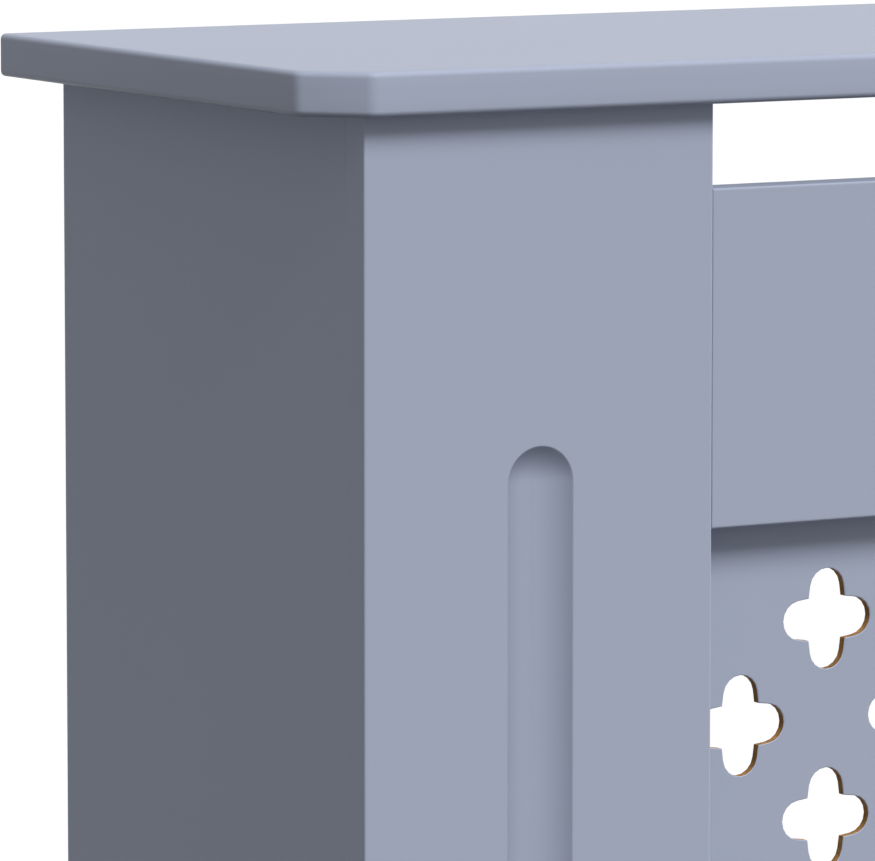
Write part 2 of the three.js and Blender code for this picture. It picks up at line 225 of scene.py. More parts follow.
floatSocket, vectorSocket, colourSocket = "NodeSocketFloat", "NodeSocketVector", "NodeSocketColor"
coatSet = {
    "cloudDetail": 4,
    "cloudRoughness": 0.6,
    "cloudGloss": 0.12,  # how far the gloss follows the clouds
    "edgeLightGain": 0.09,  # painted highlight: how much lighter the colour gets per unit of the Shading mark, painted shade where it is negative
    "hollowShade": -0.05,  # painted shade: how much darker the colour gets in the routed flute
    "peelDetail": 2,
    "peelRoughness": 0.4,
}


def sprayGroup(s):
    # A sprayed coat: a faint cloudiness in the colour and gloss, and orange peel under the bump.
    group, inside, outside = newGroup(
        "sprayedCoat",
        [
            ("Vector", vectorSocket, None),
            ("Colour", colourSocket, (0.5, 0.5, 0.5, 1)),
            ("Cloud Size", floatSocket, 9.0),
            ("Cloud Depth", floatSocket, 0.03),
            ("Gloss Base", floatSocket, 0.42),
            ("Peel Scale", floatSocket, 700.0),
            ("Arris", floatSocket, 0.0),
            ("Shadowed", floatSocket, 0.0),
        ],
        [("Colour", colourSocket), ("Roughness", floatSocket), ("Height", floatSocket)],
    )
    place = inside["Vector"]
    cloud = noise(group, place, inside["Cloud Size"], s["cloudDetail"], s["cloudRoughness"])
    centred = maths(group, "SUBTRACT", cloud, 0.5)
    shade = maths(group, "MULTIPLY_ADD", centred, inside["Cloud Depth"], 1)
    # Painted highlight along rounded edges, and painted shade where the Shading mark is negative and in the
    # routed flute.
    shade = maths(group, "MULTIPLY_ADD", inside["Arris"], s["edgeLightGain"], shade)
    shade = maths(group, "MULTIPLY_ADD", inside["Shadowed"], s["hollowShade"], shade)
    group.links.new(scaledColour(group, inside["Colour"], shade), outside["Colour"])
    gloss = maths(group, "MULTIPLY_ADD", centred, s["cloudGloss"], inside["Gloss Base"])
    group.links.new(gloss, outside["Roughness"])
    peel = noise(group, place, inside["Peel Scale"], s["peelDetail"], s["peelRoughness"])
    group.links.new(peel, outside["Height"])
    return group


fibreSet = {
    "speckDetail": 5,
    "speckRoughness": 0.65,
    "speckLow": 0.35,
    "patchScale": 130,
    "patchDetail": 3,
    "patchLow": 0.3,
}


def fibreGroup(s):
    # Pressed wood fibre: fine specks in two tones, gathered in softer patches.
    group, inside, outside = newGroup(
        "pressedFibre",
        [
            ("Vector", vectorSocket, None),
            ("Light Tone", colourSocket, (0.5, 0.5, 0.5, 1)),
            ("Dark Tone", colourSocket, (0.1, 0.1, 0.1, 1)),
            ("Fleck Scale", floatSocket, 900.0),
        ],
        [("Colour", colourSocket), ("Height", floatSocket)],
    )
    place = inside["Vector"]
    speck = noise(group, place, inside["Fleck Scale"], s["speckDetail"], s["speckRoughness"])
    patch = noise(group, place, s["patchScale"], s["patchDetail"])
    speckLight = spread(group, speck, s["speckLow"], 1)
    patchLight = spread(group, patch, s["patchLow"], 1)
    light = maths(group, "MULTIPLY", speckLight, patchLight)
    group.links.new(twoTones(group, light, inside["Dark Tone"], inside["Light Tone"]), outside["Colour"])
    group.links.new(speck, outside["Height"])
    return group


sprayedCoat = sprayGroup(coatSet)
pressedFibre = fibreGroup(fibreSet)


def addGroup(tree, group, place, values):
    node = tree.nodes.new("ShaderNodeGroup")
    node.node_tree = group
    for label, value in values.items():
        node.inputs[label].default_value = value
    tree.links.new(place, node.inputs["Vector"])
    return node


def addBump(tree, shader, height, strength, distance):
    values = {"Strength": strength, "Distance": distance, "Height": height}
    tree.links.new(addNode(tree, "Bump", values, "Normal"), shader["Normal"])


paintSet = {
    "coat": {"Colour": linear(165, 173, 193), "Cloud Depth": 0.03},
    "finish": {"Specular IOR Level": 0.1, "Coat Weight": 0.2, "Coat Roughness": 0.16},
    "bump": (0.25, 0.04 * mm),  # strength and height, here and below
}


def paintMaterial(name, roughness, s):
    # Satin paint. The pieces' own marks paint a highlight along rounded edges, and shade along the top
    # board's lower edge and in the routed flute.
    material, tree, shader, place = startMaterial(name, s["finish"])
    coat = addGroup(tree, sprayedCoat, place, {**s["coat"], "Gloss Base": roughness})
    for label in ("Arris", "Shadowed"):
        mark = addNode(tree, "Attribute", {}, "Fac", attribute_name=label.lower())
        tree.links.new(mark, coat.inputs[label])
    tree.links.new(coat.outputs["Colour"], shader["Base Color"])
    tree.links.new(coat.outputs["Roughness"], shader["Roughness"])
    addBump(tree, shader, coat.outputs["Height"], *s["bump"])
    return material


bareFibre = {"finish": {"Roughness": 0.85, "Specular IOR Level": 0.25}, "bump": (0.5, 0.1 * mm)}
cutEdgeSet = {
    **bareFibre,
    "fibre": {"Light Tone": linear(240, 182, 108), "Dark Tone": linear(98, 60, 22), "Fleck Scale": 900},
    "faceShade": 0.6,  # the sheet is pressed denser towards its two faces, and is darker there
}
rawBackSet = {
    **bareFibre,
    "fibre": {"Light Tone": linear(206, 176, 138), "Dark Tone": linear(172, 138, 100), "Fleck Scale": 1500},
}


def denseFaces(tree, place, sheet, shade):
    # One in the sheet's core, and the shade at its faces, by the square of the distance from the core.
    front, back = boxOf(sheet)
    y = addNode(tree, "SeparateXYZ", {0: place}, "Y")
    fromCore = spread(tree, y, -1, 1, front[1], back[1])
    square = maths(tree, "POWER", fromCore, 2)
    return spread(tree, square, 1, shade, 0, 1)


def fibreMaterial(name, s):
    # Bare fibreboard, as a cutter or a press leaves it.
    material, tree, shader, place = startMaterial(name, s["finish"])
    fibre = addGroup(tree, pressedFibre, place, s["fibre"])
    colour = fibre.outputs["Colour"]
    if "faceShade" in s:
        shade = denseFaces(tree, place, "grille_panel", s["faceShade"])
        colour = scaledColour(tree, colour, shade)
    tree.links.new(colour, shader["Base Color"])
    addBump(tree, shader, fibre.outputs["Height"], *s["bump"])
    return material


plasticSet = {
    "tones": (linear(222, 220, 212), linear(236, 235, 230)),
    "flowScale": 55,
    "grainScale": 2600,
    "roughness": (0.4, 0.54),
    "finish": {"Specular IOR Level": 0.4},
    "bump": (0.3, 0.03 * mm),
}


def plasticMaterial(name, s):
    # Moulded plastic: faint flow marks in the colour, and the fine grain that an eroded mould leaves.
    material, tree, shader, place = startMaterial(name, s["finish"])
    flow = noise(tree, place, s["flowScale"], 3)
    grain = noise(tree, place, s["grainScale"], 2)
    tree.links.new(twoTones(tree, flow, *s["tones"]), shader["Base Color"])
    tree.links.new(spread(tree, grain, *s["roughness"]), shader["Roughness"])
    addBump(tree, shader, grain, *s["bump"])
    return material


zincSet = {
    "tones": (linear(196, 204, 214), linear(214, 210, 196)),  # bluish and yellowish
    "bloomScale": 140,
    "bloomDulling": (0.6, 1),
    "scratchScales": (400, 2600, 900),
    "scratchRoughness": (0.26, 0.5),
    "finish": {"Metallic": 1},
    "bump": (0.08, 0.02 * mm),
}


def zincMaterial(name, s):
    # Bright zinc plate: its bloom is dulled in patches, with fine tumbling scratches.
    material, tree, shader, place = startMaterial(name, s["finish"])
    bloom = noise(tree, place, s["bloomScale"], 4, 0.6)
    scratch = noise(tree, stretched(tree, place, s["scratchScales"]), 1, 3, 0.7)
    tree.links.new(twoTones(tree, bloom, *s["tones"]), shader["Base Color"])
    dulled = spread(tree, bloom, *s["bloomDulling"])
    scratched = spread(tree, scratch, *s["scratchRoughness"])
    tree.links.new(maths(tree, "MULTIPLY", dulled, scratched), shader["Roughness"])
    addBump(tree, shader, scratch, *s["bump"])
    return material


beechSet = {
    "tones": (linear(214, 172, 122), linear(190, 144, 96)),
    "fleckTone": linear(140, 96, 58),
    "bandScales": (25, 700, 700),  # the grain runs along X
    "fleckScales": (500, 4200, 4200),
    "fleckRange": (0.62, 0.72),  # the part of the noise over which flecks come up
    "fleckDepth": 0.8,
    "finish": {"Roughness": 0.75, "Specular IOR Level": 0.3},
    "bump": (0.4, 0.1 * mm),
}


def beechMaterial(name, s):
    # Raw beech: soft growth bands, and short dark flecks.
    material, tree, shader, place = startMaterial(name, s["finish"])
    bands = noise(tree, stretched(tree, place, s["bandScales"]), 1, 3, 0.55)
    flecks = noise(tree, stretched(tree, place, s["fleckScales"]), 1, 2, 0.6)
    wood = twoTones(tree, bands, *s["tones"])
    flecked = spread(tree, flecks, 0, s["fleckDepth"], *s["fleckRange"])
    tree.links.new(twoTones(tree, flecked, wood, s["fleckTone"]), shader["Base Color"])
    addBump(tree, shader, bands, *s["bump"])
    return material


boardPaint = paintMaterial("greyBlueBoardPaint", 0.6, paintSet)
sheetPaint = paintMaterial("greyBlueSheetPaint", 0.62, paintSet)
cutEdge = fibreMaterial("cutFibreEdge", cutEdgeSet)
rawBack = fibreMaterial("rawFibreBack", rawBackSet)
whitePlastic = plasticMaterial("mouldedWhitePlastic", plasticSet)
brightZinc = zincMaterial("brightZincPlate", zincSet)
rawBeech = beechMaterial("rawBeech", beechSet)
print("materials made")


def titled(node):
    # A node's name in the way of the names here.
    first, *others = node.split("_")
    return first + "".join(word.capitalize() for word in others)


def addPiece(name, node, points, faces, looks, faceLooks=None, marks=None, sharpDegrees=32):
    # Puts a surface in the node's place. faceLooks picks each face's look, and marks are values on points.
    mesh = bpy.data.meshes.new(name)
    mesh.from_pydata(points.tolist(), [], faces)
    for look in looks:
        mesh.materials.append(look)
    if faceLooks is not None:
        mesh.polygons.foreach_set("material_index", faceLooks)
    for label, values in (marks or {}).items():
        attribute = mesh.attributes.new(label, "FLOAT", "POINT")
        attribute.data.foreach_set("value", np.ascontiguousarray(values, dtype=np.float32).ravel())
    mesh.shade_smooth()
    mesh.set_sharp_from_angle(angle=math.radians(sharpDegrees))
    mesh.update()
    piece = bpy.data.objects.new(name, mesh)
    scene.collection.objects.link(piece)
    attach(piece, "root")
    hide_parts(node)
    return piece


def circleAt(angle):
    # The cosine and sine of each angle, as points on a circle with a radius of one.
    return np.stack([np.cos(angle), np.sin(angle)], -1)


def atHeight(outline, height):
    # A flat outline as a ring of points, at one height or at a height for each.
    return np.column_stack([outline, np.broadcast_to(height, len(outline))])


def bandFaces(rows, count):
    # The quads between neighbouring rings of equal counts, turned so that rings that climb face out.
    start = np.arange(rows - 1)[:, None] * count
    step = np.arange(count)
    low, lowNext = start + step, start + (step + 1) % count
    return np.stack([low, lowNext, lowNext + count, low + count], -1).reshape(-1, 4)


def closedShell(rings):
    # Rings carried one after another, with a flat face over the first and the last.
    rows, count = rings.shape[:2]
    faces = bandFaces(rows, count).tolist()
    faces.append(np.arange(count)[::-1].tolist())
    faces.append((np.arange(count) + (rows - 1) * count).tolist())
    return rings.reshape(-1, 3), faces


def loopedShell(rings):
    # Rings carried round until the last meets the first, as in a ring with a hole through it.
    rows, count = rings.shape[:2]
    faces = bandFaces(rows + 1, count) % (rows * count)
    return rings.reshape(-1, 3), faces.tolist()


def joinedShells(shells):
    # Several shells as one: the faces of each count on from the points before it.
    points, faces, firstPoint = [], [], 0
    for shellPoints, shellFaces in shells:
        points.append(shellPoints)
        faces += [[corner + firstPoint for corner in face] for face in shellFaces]
        firstPoint += len(shellPoints)
    return np.concatenate(points), faces


def roundedOutline(corners, radii, steps):
    # Every corner becomes an arc that touches both of its sides: its centre lies on the bisector.
    corners = np.asarray(corners, float)
    radii = np.asarray(radii, float)[:, None]
    before = np.roll(corners, 1, 0) - corners
    after = np.roll(corners, -1, 0) - corners
    before /= np.linalg.norm(before, axis=1, keepdims=True)
    after /= np.linalg.norm(after, axis=1, keepdims=True)
    half = np.arccos(np.clip((before * after).sum(1), -1, 1))[:, None] / 2
    middle = before + after
    middle /= np.linalg.norm(middle, axis=1, keepdims=True)
    centre = corners + middle * radii / np.sin(half)
    start = corners + before * radii / np.tan(half) - centre
    end = corners + after * radii / np.tan(half) - centre
    startAngle = np.arctan2(start[:, 1], start[:, 0])
    sweep = np.arctan2(end[:, 1], end[:, 0]) - startAngle
    sweep = (sweep + np.pi) % (2 * np.pi) - np.pi
    angle = startAngle[:, None] + sweep[:, None] * np.linspace(0, 1, steps + 1)
    arc = circleAt(angle) * radii[:, :, None]
    return (centre[:, None, :] + arc).reshape(-1, 2)


def drawnIn(outline, distances):
    # Every side moves in by its own distance, and a corner goes to where its two moved sides cross.
    side = np.roll(outline, -1, 0) - outline
    side /= np.linalg.norm(side, axis=1, keepdims=True)
    normal = np.stack([-side[:, 1], side[:, 0]], 1)
    normalBefore, distanceBefore = np.roll(normal, 1, 0), np.roll(distances, 1)
    cross = normalBefore[:, 0] * normal[:, 1] - normalBefore[:, 1] * normal[:, 0]
    straightOn = np.abs(cross) < 1e-4
    cross = np.where(straightOn, 1, cross)
    x = (distanceBefore * normal[:, 1] - distances * normalBefore[:, 1]) / cross
    y = (normalBefore[:, 0] * distances - normal[:, 0] * distanceBefore) / cross
    shift = np.where(straightOn[:, None], normal * distances[:, None], np.stack([x, y], 1))
    return outline + shift


edgeSteps = 4  # in a rounded edge, where a piece has no value of its own
flatSupport = 0.3 * mm  # how far beside a rounded edge a level of points keeps the face flat
leastRadius = 0.05 * mm  # a rounded corner never shrinks past this


def edgeLevels(thickness, lowRadius, highRadius, steps, wallSupport=flatSupport):
    # (inset, height) pairs round a slab's two long edges: quarter arcs, each held by a close level
    # on the flat beside it. The further off the wall's level lies, the softer the arc runs out there.
    angle = np.linspace(0, np.pi / 2, steps + 1)
    low = np.stack([lowRadius * (1 - np.sin(angle)), lowRadius * (1 - np.cos(angle))], 1)
    high = np.stack([highRadius * (1 - np.sin(angle)), thickness - highRadius * (1 - np.cos(angle))], 1)
    lowFlat, highFlat = [lowRadius + flatSupport, 0], [highRadius + flatSupport, thickness]
    lowWall, highWall = [0, lowRadius + wallSupport], [0, thickness - highRadius - wallSupport]
    return np.array([lowFlat, *low, lowWall, highWall, *high[::-1], highFlat])


def edgeLightMarks(count, steps):
    # One along the middle of each of the two rounded edges of a slab's levels, falling to nought beside it:
    # where the painted highlight lies.
    arc = np.sin(np.linspace(0, np.pi, steps + 1))
    levels = np.concatenate([[0], arc, [0, 0], arc[::-1], [0]])
    return np.repeat(levels[:, None], count, 1)


def boardRings(
    corners, radii, weights, thickness, lowRadius, highRadius, steps=edgeSteps, wallSupport=flatSupport
):
    # A board as rings of its outline. At each level its sides draw in by the inset times their weights,
    # and its corner arcs shrink by as much, or grow where the corner is an inner one.
    corners, radii, weights = (np.asarray(given, float) for given in (corners, radii, weights))
    side = np.roll(corners, -1, 0) - corners
    before = np.roll(side, 1, 0)
    turn = np.sign(before[:, 0] * side[:, 1] - before[:, 1] * side[:, 0])
    shrink = turn * (weights + np.roll(weights, 1)) / 2
    rings = []
    for inset, height in edgeLevels(thickness, lowRadius, highRadius, steps, wallSupport):
        arcRadii = np.maximum(radii - shrink * inset, leastRadius)
        outline = roundedOutline(drawnIn(corners, weights * inset), arcRadii, steps)
        rings.append(atHeight(outline, height))
    return np.array(rings)


# Where a slab's outline and thickness lie, for a board seen from above, from the front and from the right.
fromAbove = np.array([[1, 0, 0], [0, 1, 0], [0, 0, 1]])
fromFront = np.array([[1, 0, 0], [0, 0, 1], [0, -1, 0]])
fromRight = np.array([[0, 1, 0], [0, 0, 1], [1, 0, 0]])


# The top board, with its two front corners cut off.
topSet = {
    "cornerCut": 15 * mm,
    "cornerRadius": 5 * mm,
    "edgeRadius": 1.7 * mm,
    "backRadius": 0.5 * mm,
    "softRunOut": 3 * mm,  # how far down the wall the sanded edge still shows
    "lowerEdgeShade": -4.5,  # painted shade: the lower edge is darker instead of lighter
    "arcSteps": 6,
}


def makeTopBoard(s):
    low, high = boxOf("top_board")
    cut = s["cornerCut"]
    corners = [
        (low[0], low[1] + cut),
        (low[0] + cut, low[1]),
        (high[0] - cut, low[1]),
        (high[0], low[1] + cut),
        (high[0], high[1]),
        (low[0], high[1]),
    ]
    radii = [s["cornerRadius"]] * 4 + [s["backRadius"]] * 2
    thickness, edge, steps = high[2] - low[2], s["edgeRadius"], s["arcSteps"]
    weights = [1, 1, 1, 1, s["backRadius"] / edge, 1]  # the side at the wall is hardly rounded
    rings = boardRings(corners, radii, weights, thickness, edge, edge, steps, s["softRunOut"])
    points, faces = closedShell(rings @ fromAbove + np.array([0, 0, low[2]]))
    # Painted highlight along the rounded edges.
    arris = edgeLightMarks(rings.shape[1], steps)
    # Painted shade on the lower edge, darkest where it runs out into the underside.
    lowerEdge = np.concatenate([[0], np.cos(np.linspace(0, np.pi / 2, steps + 1)), [0]])
    arris[: len(lowerEdge)] = s["lowerEdgeShade"] * lowerEdge[:, None]
    addPiece("topBoard", "top_board", points, faces, [boardPaint], marks={"arris": arris})


# The front frame: two fluted stiles and the rails between them.
stileSet = {
    "easedEdge": 0.6 * mm,
    "endEase": 0.2 * mm,
    "fluteHalfWidth": 10 * mm,
    "fluteDepth": 5 * mm,
    "fluteEndMargin": 89 * mm,
    "rimRadius": 0.5 * mm,
    "jointHighlight": 4,  # how much stronger the painted highlight is along the edge at the rails
    "jointReach": 1 * mm,  # and how far in from the edge
    "coveStart": 0.06,  # the innermost ring's share of the way up the cove
    "coveRings": 14,
    "rimSteps": 6,
    "endSteps": 10,  # per stretch between the outline's corners
}


def stileDirections(s, halfWidth, margin):
    # Directions round the flute's upper end from its centre, with the outline's two corners among them, and
    # the same turned over for the lower end.
    corner = math.atan2(margin, halfWidth)
    steps = s["endSteps"]
    first = np.linspace(0, corner, steps + 1)
    second = np.linspace(corner, np.pi - corner, steps + 1)[1:]
    third = np.linspace(np.pi - corner, np.pi, steps + 1)[1:]
    upper = circleAt(np.concatenate([first, second, third]))
    return np.concatenate([upper, -upper])


def coveSection(s):
    # The cove's section is an arc of a circle from near its middle line to where a small round of the rim,
    # which lies at a tangent to it and to the front face, takes over. For each level it gives the distance
    # from the middle line, the depth, and how much painted shade the routed hollow gets there.
    halfWidth, depth, rim = s["fluteHalfWidth"], s["fluteDepth"], s["rimRadius"]
    arcRadius = (halfWidth**2 + depth**2) / (2 * depth)
    # The rim's centre lies rim behind the front face and arcRadius + rim from the arc's centre.
    arcCentre = depth - arcRadius
    rimCentre = math.sqrt((arcRadius + rim) ** 2 - (rim - arcCentre) ** 2)
    meet = math.atan2(rimCentre, rim - arcCentre)  # from the depth axis to the point of tangency
    sweep = np.linspace(s["coveStart"], 1, s["coveRings"]) * meet
    rimAngle = np.linspace(meet, 0, s["rimSteps"] + 1)[1:]
    outward = [arcRadius * np.sin(sweep), rimCentre - rim * np.sin(rimAngle), [rimCentre + flatSupport]]
    inward = [arcCentre + arcRadius * np.cos(sweep), rim * (1 - np.cos(rimAngle)), [0]]
    shadowed = [np.ones(len(sweep)), np.linspace(1, 0, s["rimSteps"] + 1)[1:], [0]]
    return np.concatenate(outward), np.concatenate(inward), np.concatenate(shadowed)


def makeStile(name, node, s):
    low, high = boxOf(node)
    centreX, halfWidth = (low[0] + high[0]) / 2, (high[0] - low[0]) / 2
    margin = s["fluteEndMargin"] + s["fluteHalfWidth"]
    direction = stileDirections(s, halfWidth, margin)
    count = len(direction)
    endCentres = [[centreX, high[2] - margin], [centreX, low[2] + margin]]
    centres = np.repeat(endCentres, count // 2, axis=0)

    # Each level of the cove's section runs round the flute.
    outward, inward, shadowed = coveSection(s)
    cove = centres + outward[:, None, None] * direction
    depths = np.repeat(low[1] + inward[:, None], count, 1)
    coveRings = np.stack([cove[..., 0], depths, cove[..., 1]], -1)

    # The outline has one point on each direction from the flute's ends.
    reach = (np.array([halfWidth, margin]) / np.maximum(np.abs(direction), 1e-9)).min(1)
    outline = centres + direction * reach[:, None]
    isEnd = np.abs((np.roll(outline, -1, 0) - outline)[:, 1]) < 1e-7
    weights = np.where(isEnd, s["endEase"] / s["easedEdge"], 1.0)
    levels = edgeLevels(high[1] - low[1], s["endEase"], s["easedEdge"], edgeSteps)
    slab = np.array([atHeight(drawnIn(outline, weights * inset), height) for inset, height in levels])
    rings = np.concatenate([slab @ fromFront + np.array([0, high[1], 0]), coveRings[::-1]])
    points, faces = closedShell(rings)

    # Painted shade in the routed flute, and painted highlight along the eased edges, stronger at the rails.
    shadowedMarks = np.repeat(np.concatenate([np.zeros(len(levels)), shadowed[::-1]])[:, None], count, 1)
    arris = np.concatenate([edgeLightMarks(count, edgeSteps), np.zeros((len(shadowed), count))])
    atJoint = np.abs(rings[:, :, 0]) < abs(centreX) - halfWidth + s["jointReach"]
    marks = {"arris": arris * np.where(atJoint, s["jointHighlight"], 1), "shadowed": shadowedMarks}
    addPiece(name, node, points, faces, [boardPaint], marks=marks)


railSet = {"easedEdge": 0.6 * mm, "endEase": 0.2 * mm, "cornerRadius": 0.12 * mm}


def makeRail(name, node, s):
    low, high = boxOf(node)
    corners = [(low[0], low[2]), (high[0], low[2]), (high[0], high[2]), (low[0], high[2])]
    radii, thickness = [s["cornerRadius"]] * 4, high[1] - low[1]
    endWeight = s["endEase"] / s["easedEdge"]
    weights = [1, endWeight, 1, endWeight]
    rings = boardRings(corners, radii, weights, thickness, s["endEase"], s["easedEdge"])
    points, faces = closedShell(rings @ fromFront + np.array([0, high[1], 0]))
    # Painted highlight along the eased edges.
    marks = {"arris": edgeLightMarks(rings.shape[1], edgeSteps)}
    addPiece(name, node, points, faces, [boardPaint], marks=marks)


# The side panels, notched at the foot for the wall's skirting.
sideSet = {
    "easedEdge": 0.4 * mm,
    "cornerRadius": 0.5 * mm,
    "seamHighlight": 3,  # how much stronger the painted highlight is along the seam behind the stile
    "seamReach": 1 * mm,  # and how far in from the edge
    "skirtingHeight": 120 * mm,
    "skirtingDepth": 25 * mm,
    "wallGap": 7 * mm,
}


def makeSidePanel(name, node, s):
    low, high = boxOf(node)
    notchY = high[1] + s["wallGap"] - s["skirtingDepth"]
    notchZ = low[2] + s["skirtingHeight"]
    corners = [
        (low[1], low[2]),
        (notchY, low[2]),
        (notchY, notchZ),
        (high[1], notchZ),
        (high[1], high[2]),
        (low[1], high[2]),
    ]
    ease = s["easedEdge"]
    rings = boardRings(corners, [s["cornerRadius"]] * 6, [1] * 6, high[0] - low[0], ease, ease)
    points, faces = closedShell(rings @ fromRight + np.array([low[0], 0, 0]))
    # Painted highlight along the eased edges, stronger along the seam behind the stile.
    atSeam = rings[:, :, 0] < low[1] + s["seamReach"]
    arris = edgeLightMarks(rings.shape[1], edgeSteps) * np.where(atSeam, s["seamHighlight"], 1)
    addPiece(name, node, points, faces, [boardPaint], marks={"arris": arris})


# The grille sheet, pierced with crosses on a diagonal lattice.
grilleSet = {
    "spacing": 27.5 * mm,
    "columns": 9,  # on each side of the middle
    "rows": 8,
    "crossLength": 27.8 * mm,
    "rootWidth": 11.6 * mm,  # between the inner corners
    "endRadius": 5.4 * mm,
    "lobeSteps": 8,
    "rim": 0.2 * mm,
    "rimHighlight": 4,  # how strong the painted highlight is on a hole's rim
    "joinPlaces": 7,  # decimal places of a metre to which points have to agree to be one
}
paintedLook, cutLook, rawLook = 0, 1, 2  # the sheet's looks


def crossShape(s, grow=0.0):
    # A lobe is an inner corner, and an arc that both of its slightly slanted flanks touch. Four turns of it
    # make the cross, which may be grown by a small rim.
    root, radius = s["rootWidth"] / 2 + grow, s["endRadius"] + grow
    endCentre = s["crossLength"] / 2 + grow - radius
    toRoot = math.hypot(endCentre - root, root)
    touch = math.atan2(root, root - endCentre) - math.acos(radius / toRoot)
    angle = np.linspace(-touch, touch, s["lobeSteps"] + 1)
    lobe = np.stack([endCentre + radius * np.cos(angle), radius * np.sin(angle)], 1)
    quarter = np.concatenate([[[root, -root]], lobe])
    turns = np.arange(4) * np.pi / 2
    cos, sin = np.cos(turns)[:, None], np.sin(turns)[:, None]
    x, y = quarter[None, :, 0], quarter[None, :, 1]
    return np.stack([cos * x - sin * y, sin * x + cos * y], -1).reshape(-1, 2)


def standing(outline, y):
    # An outline in X and Z as points at one Y.
    return np.insert(outline, 1, y, axis=1)


def plateShell(outline, front, back, halfSize):
    # A flat piece of the sheet, its outline anticlockwise from the front and measured from the middle: both
    # faces, and a wall along every side of the outline that lies on the sheet's edge.
    count = len(outline)
    following = np.roll(outline, -1, 0)
    atEdge = np.isclose(np.abs(outline), halfSize) & np.isclose(outline, following)
    sides = np.flatnonzero(atEdge.any(1))
    nextSides = (sides + 1) % count
    walls = np.stack([nextSides, sides, sides + count, nextSides + count], 1)
    faces = [list(range(count)), list(range(count, 2 * count))[::-1], *walls.tolist()]
    points = np.concatenate([standing(outline, front), standing(outline, back)])
    return (points, faces), [paintedLook, rawLook] + [cutLook] * len(sides)


def edgeOutlines(diamond, offsets, lattice, spacing, halfSize):
    # Between the outer diamonds and the sheet's edge, each side of a diamond closes to its own stretch of
    # edge, and a rectangle is left at each of the sheet's corners.
    outlines = []
    quarter = len(diamond) // 4
    last = lattice * spacing
    for turn, (axis, sign) in enumerate([(0, 1), (1, 1), (0, -1), (1, -1)]):
        outer = np.isclose(offsets[:, axis], sign * last[axis])
        for offset in offsets[outer]:
            for half in (turn - 1, turn):
                first = half * quarter + quarter // 2
                ring = diamond[np.arange(first, first + quarter + 1) % len(diamond)] + offset
                ends = ring[[0, -1]]
                ends[:, axis] = sign * halfSize[axis]
                outlines.append(np.concatenate([ring[::-1], ends]))
    for signX, signZ in ((1, 1), (-1, 1), (-1, -1), (1, -1)):
        xs = np.array([last[0], halfSize[0], halfSize[0], last[0]]) * signX
        zs = np.array([last[1], last[1], halfSize[1], halfSize[1]]) * signZ
        outlines.append(np.column_stack([xs, zs])[:: signX * signZ])
    return outlines


def makeGrille(s):
    low, high = boxOf("grille_panel")
    middle, halfSize = (low + high) / 2, (high - low)[[0, 2]] / 2
    front, back, spacing = low[1], high[1], s["spacing"]

    # Each cross sits in a diamond of the lattice: every point of the cross is joined to the point of the
    # diamond in the same direction.
    hole, grownHole = crossShape(s), crossShape(s, s["rim"])
    direction = hole / np.linalg.norm(hole, axis=1, keepdims=True)
    diamond = direction * (spacing / np.abs(direction).sum(1))[:, None]
    layers = [(diamond, front), (grownHole, front), (hole, front + s["rim"]), (hole, back), (diamond, back)]
    tile = np.array([standing(shape, y) for shape, y in layers])

    lattice = np.array([s["columns"], s["rows"]])
    steps = [np.arange(-reach, reach + 1) for reach in lattice]
    crossings = np.stack(np.meshgrid(*steps), -1).reshape(-1, 2)
    offsets = crossings[(crossings + lattice).sum(1) % 2 == 1] * spacing
    tiles = (tile + standing(offsets, 0)[:, None, None, :]).reshape(-1, 3)
    tileStarts = np.arange(len(offsets)) * tile.shape[0] * tile.shape[1]
    tileFaces = bandFaces(*tile.shape[:2]) + tileStarts[:, None, None]

    # The front and the holes' rims are painted, the holes' walls are cut, and the back is raw.
    bandLooks = np.repeat([paintedLook, paintedLook, cutLook, rawLook], len(hole))
    faceLooks = np.tile(bandLooks, len(offsets)).tolist()
    shells = [(tiles, tileFaces.reshape(-1, 4).tolist())]
    for outline in edgeOutlines(diamond, offsets, lattice, spacing, halfSize):
        shell, shellLooks = plateShell(outline, front, back, halfSize)
        shells.append(shell)
        faceLooks += shellLooks
    points, faces = joinedShells(shells)
    points = points + np.array([middle[0], 0, middle[2]])

    # Only the tiles' points hold a mark, the painted highlight on the holes' rims. Points that lie together
    # become one.
    rimHighlightMarks = np.zeros(len(points))
    rimHighlightMarks[: len(tiles)] = np.tile(np.repeat([0, 0, s["rimHighlight"], 0, 0], len(hole)), len(offsets))
    places = np.round(points, s["joinPlaces"])
    unique, firsts, inverse = np.unique(places, axis=0, return_index=True, return_inverse=True)
    inverse = inverse.ravel()
    faces = [inverse[face].tolist() for face in faces]
    looks, marks = [sheetPaint, cutEdge, rawBack], {"arris": rimHighlightMarks[firsts]}
    addPiece("grilleSheet", "grille_panel", unique, faces, looks, faceLooks, marks)


# The plastic joint blocks: two screw towers, each over one of the two boards, and a neck between them.
blockSet = {
    "size": 13 * mm,
    "length": 40 * mm,
    "screwSpacing": 20 * mm,
    "cornerCut": 2.5 * mm,
    "holeRadius": 1.9 * mm,
    "seatRadius": 3.7 * mm,
    "faceDrop": 0.5 * mm,  # the moulded face lies this much lower than the screw's seat
    "easedEdge": 0.4 * mm,
    "easeMiddle": 0.3,  # where an eased edge's middle level lies, as a share of the ease
    "holeEase": 0.15 * mm,
    "cornerRadius": 1 * mm,
    "waist": 0.8 * mm,  # half of the gap between the two towers
    "webSize": 9 * mm,
    "cornerSteps": 7,
}


